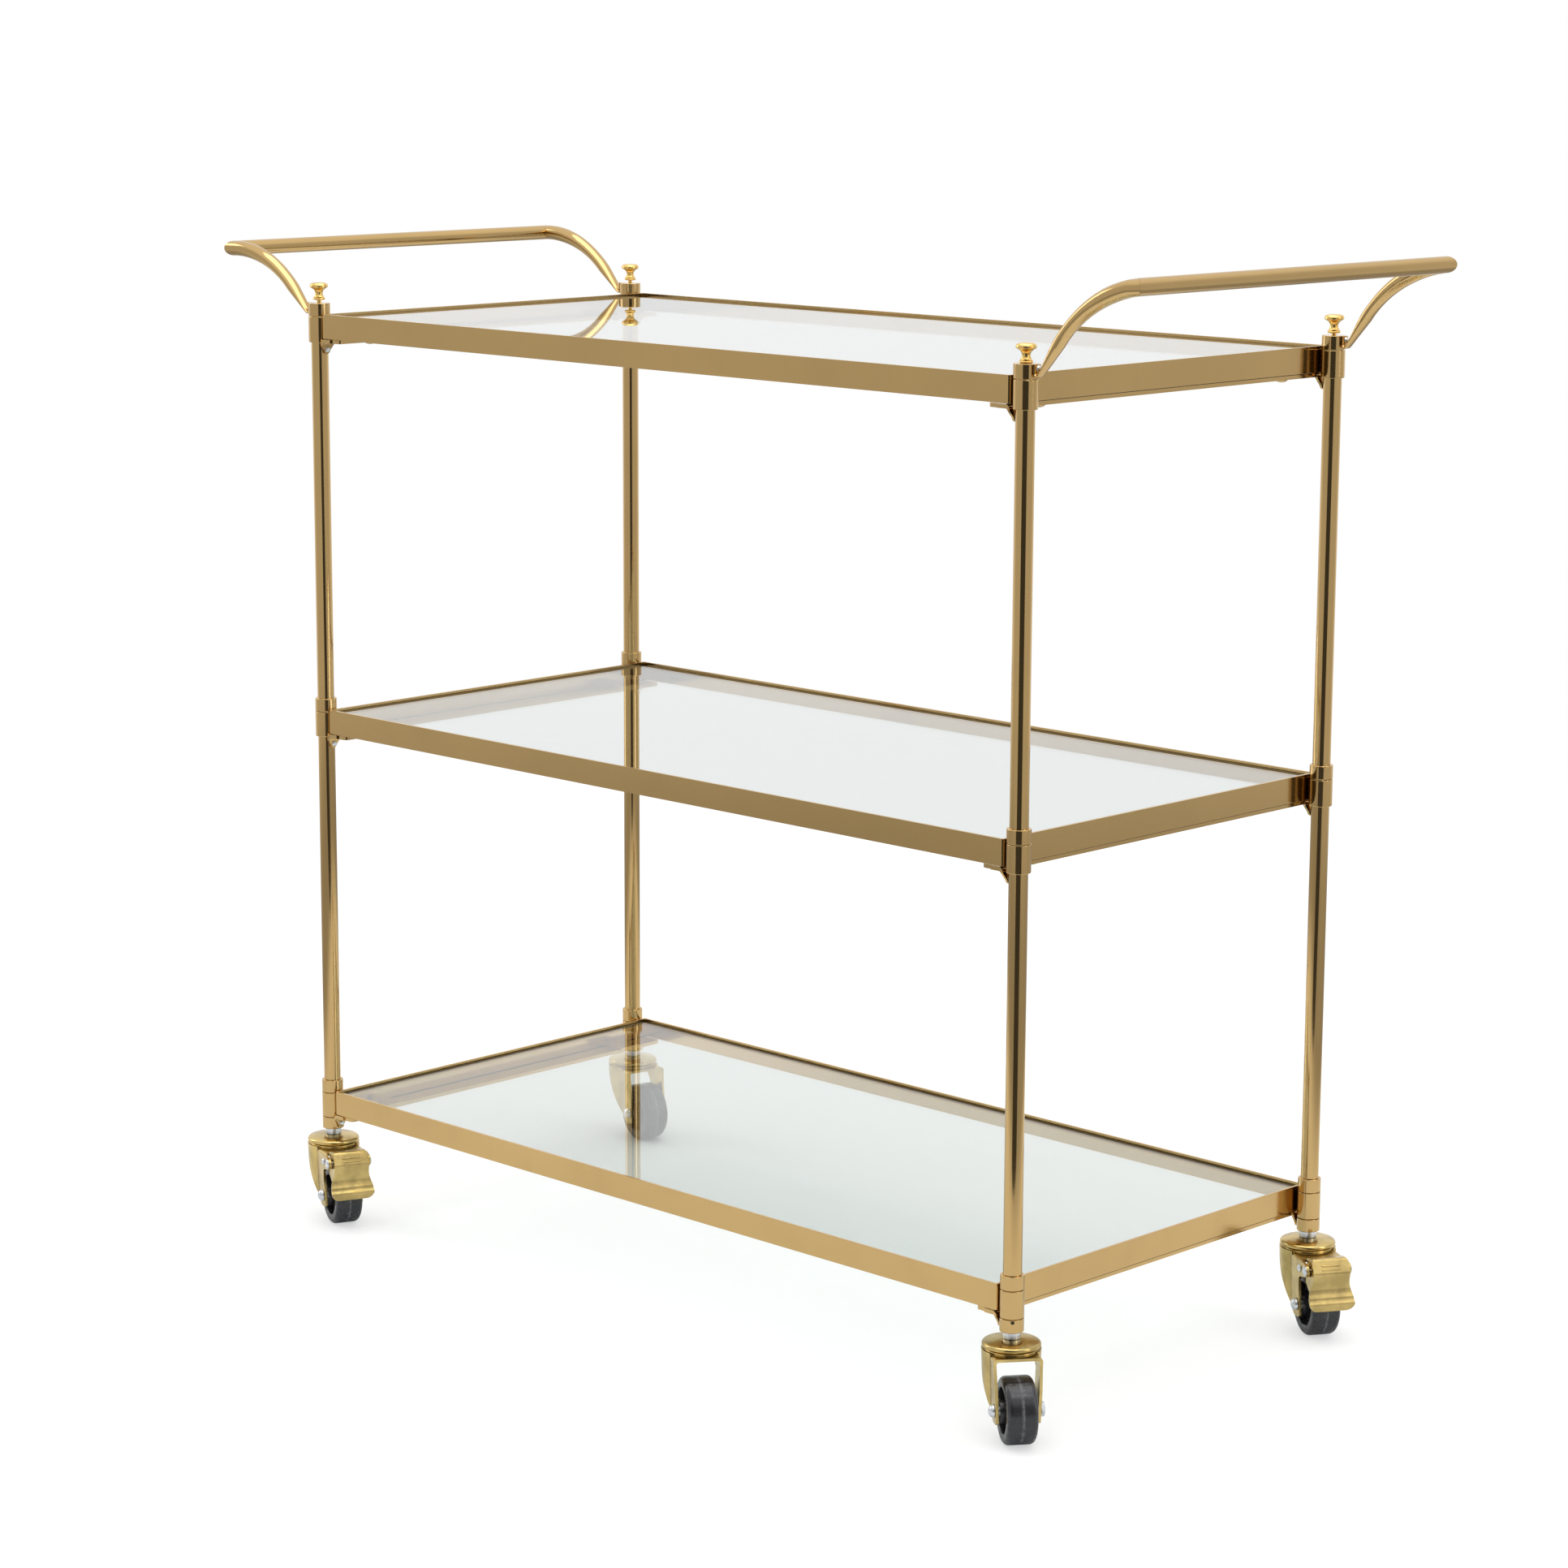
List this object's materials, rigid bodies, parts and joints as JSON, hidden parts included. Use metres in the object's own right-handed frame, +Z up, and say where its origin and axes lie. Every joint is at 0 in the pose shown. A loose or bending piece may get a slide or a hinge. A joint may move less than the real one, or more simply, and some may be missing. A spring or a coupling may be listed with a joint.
{
  "type": "bar cart on wheels",
  "caption": "Tiered bar cart: brass tube posts, glass shelves in brass rails, a push handle at each end and swivel casters with foot brakes.",
  "frame": {"origin": "on the floor, midway between the four post centres", "axes": "+X along the cart towards its right-hand handle, +Y across it from the front to the back, +Z up"},
  "size_m": [0.992, 0.4134, 0.8417],
  "materials": {
    "frame_brass": "polished and lacquered, fine brushing on the rails",
    "finial_brass": "polished yellow brass",
    "caster_gold": "satin gold plating",
    "zinc_steel": "bright zinc plating",
    "shelf_glass": "clear toughened glass with polished, slightly green edges",
    "wheel_black": "moulded black nylon, semi-gloss with a parting line"
  },
  "bodies": {
    "cart": {"bottom_frame": "frame_brass", "middle_frame": "frame_brass", "top_frame": "frame_brass", "bottom_glass": "shelf_glass", "middle_glass": "shelf_glass", "top_glass": "shelf_glass", "front_left_lower_post": "frame_brass", "front_right_lower_post": "frame_brass", "back_right_lower_post": "frame_brass", "back_left_lower_post": "frame_brass", "front_left_upper_post": "frame_brass", "front_right_upper_post": "frame_brass", "back_right_upper_post": "frame_brass", "back_left_upper_post": "frame_brass", "shelf_sockets": "frame_brass", "post_ferrules": "frame_brass", "post_caps": "frame_brass", "foot_rings": "frame_brass", "post_joiners": "zinc_steel", "bottom_left_strap": "frame_brass", "bottom_right_strap": "frame_brass", "middle_left_strap": "frame_brass", "middle_right_strap": "frame_brass", "top_left_strap": "frame_brass", "top_right_strap": "frame_brass", "strap_screws": "zinc_steel", "shelf_bolts": "frame_brass", "left_handle_bar": "frame_brass", "right_handle_bar": "frame_brass", "front_left_handle_arm": "frame_brass", "front_right_handle_arm": "frame_brass", "back_right_handle_arm": "frame_brass", "back_left_handle_arm": "frame_brass", "handle_screws": "finial_brass", "finials": "finial_brass", "grub_screws": "zinc_steel", "caster_stems": "zinc_steel", "swivel_caps": "caster_gold", "swivel_balls": "zinc_steel"},
    "front_left_caster": {"front_left_fork": "caster_gold", "front_left_axle": "zinc_steel", "front_left_brake_pins": "zinc_steel"},
    "front_left_roller": {"front_left_wheel": "wheel_black", "front_left_bush": "zinc_steel"},
    "front_left_brake": {"front_left_brake_pedal": "caster_gold"},
    "front_right_caster": {"front_right_fork": "caster_gold", "front_right_axle": "zinc_steel"},
    "front_right_roller": {"front_right_wheel": "wheel_black", "front_right_bush": "zinc_steel"},
    "back_right_caster": {"back_right_fork": "caster_gold", "back_right_axle": "zinc_steel", "back_right_brake_pins": "zinc_steel"},
    "back_right_roller": {"back_right_wheel": "wheel_black", "back_right_bush": "zinc_steel"},
    "back_right_brake": {"back_right_brake_pedal": "caster_gold"},
    "back_left_caster": {"back_left_fork": "caster_gold", "back_left_axle": "zinc_steel"},
    "back_left_roller": {"back_left_wheel": "wheel_black", "back_left_bush": "zinc_steel"}
  },
  "joints": [
    {"name": "front_left_swivel", "type": "hinge", "parent": "cart", "child": "front_left_caster", "pos_m": [-0.385, -0.176, 0.066], "axis": [0, 0, 1], "continuous": true},
    {"name": "front_left_roll", "type": "hinge", "parent": "front_left_caster", "child": "front_left_roller", "pos_m": [-0.36383, -0.18499, 0.025], "axis": [0.3907, 0.9205, 0], "continuous": true},
    {"name": "front_left_brake_lift", "type": "hinge", "parent": "front_left_caster", "child": "front_left_brake", "pos_m": [-0.34496, -0.193, 0.0578], "axis": [-0.3907, -0.9205, 0], "range_deg": [0, 25]},
    {"name": "front_right_swivel", "type": "hinge", "parent": "cart", "child": "front_right_caster", "pos_m": [0.385, -0.176, 0.066], "axis": [0, 0, 1], "continuous": true},
    {"name": "front_right_roll", "type": "hinge", "parent": "front_right_caster", "child": "front_right_roller", "pos_m": [0.40337, -0.18984, 0.025], "axis": [0.6018, 0.7986, 0], "continuous": true},
    {"name": "back_right_swivel", "type": "hinge", "parent": "cart", "child": "back_right_caster", "pos_m": [0.385, 0.176, 0.066], "axis": [0, 0, 1], "continuous": true},
    {"name": "back_right_roll", "type": "hinge", "parent": "back_right_caster", "child": "back_right_roller", "pos_m": [0.40451, 0.16381, 0.025], "axis": [0.5299, 0.848, 0], "continuous": true},
    {"name": "back_right_brake_lift", "type": "hinge", "parent": "back_right_caster", "child": "back_right_brake", "pos_m": [0.42189, 0.15295, 0.0578], "axis": [-0.5299, -0.848, 0], "range_deg": [0, 25]},
    {"name": "back_left_swivel", "type": "hinge", "parent": "cart", "child": "back_left_caster", "pos_m": [-0.385, 0.176, 0.066], "axis": [0, 0, 1], "continuous": true},
    {"name": "back_left_roll", "type": "hinge", "parent": "back_left_caster", "child": "back_left_roller", "pos_m": [-0.36278, 0.17005, 0.025], "axis": [0.2588, 0.9659, 0], "continuous": true}
  ]
}
